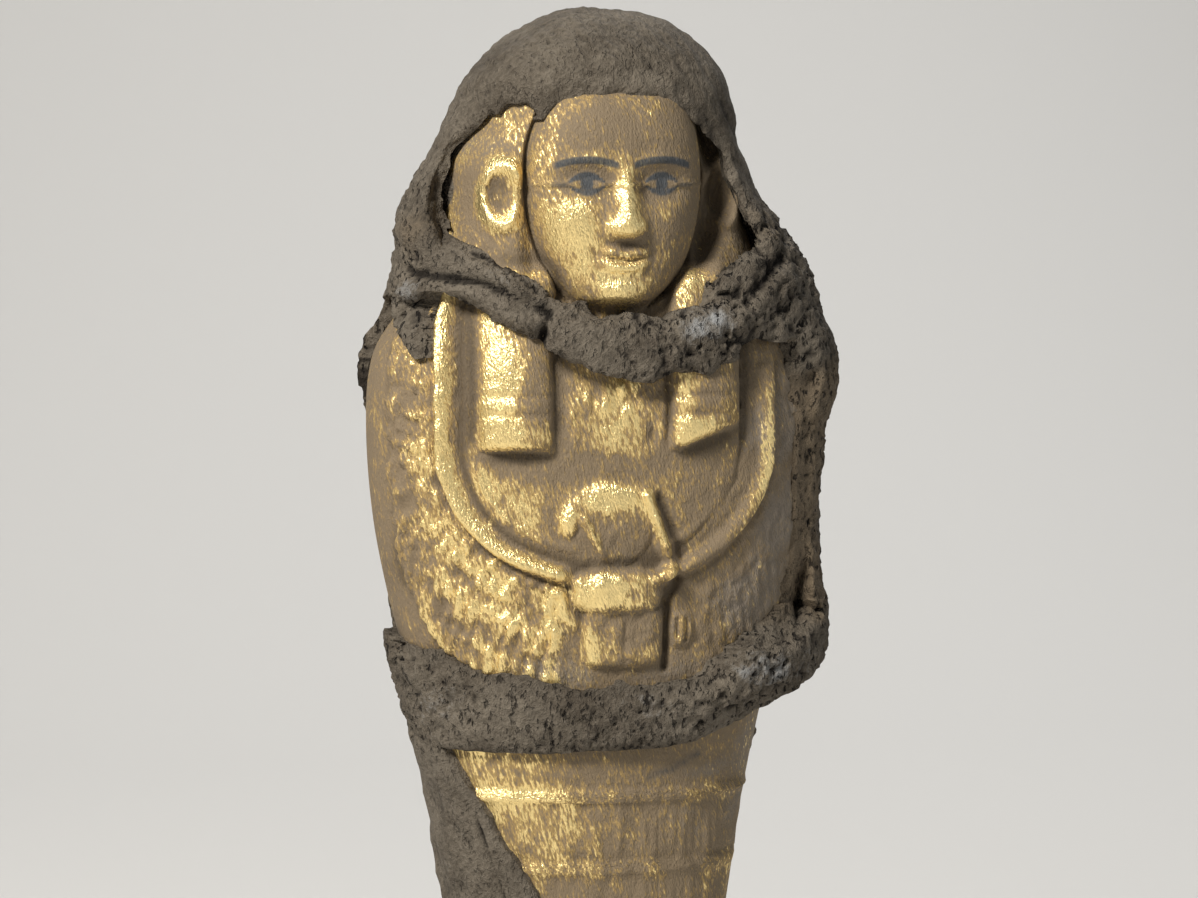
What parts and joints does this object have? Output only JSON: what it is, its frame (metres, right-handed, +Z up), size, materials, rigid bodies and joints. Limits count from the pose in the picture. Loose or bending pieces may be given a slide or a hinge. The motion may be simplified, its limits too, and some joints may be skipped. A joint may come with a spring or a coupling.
{
  "type": "ushabti figurine",
  "caption": "Gilded wooden mummy-shaped funerary figurine standing on a low base, partly covered by a hardened crust of resin-soaked wrapping.",
  "frame": {"origin": "middle of the base's flat underside, on the surface that the figurine stands on", "axes": "+Z up towards the crown, the face looks along -Y, +X towards the figurine's left shoulder"},
  "size_m": [0.0788, 0.0516, 0.2201],
  "materials": {
    "gilding": "gold leaf on gesso over carved wood, burnished where clean and brown with dirt elsewhere",
    "wrapping": "rough, pitted grey-brown crust of hardened resin, earth and wrapping"
  },
  "bodies": {
    "root": {"figure": "gilding", "wrapping_crust": "wrapping"}
  },
  "joints": []
}
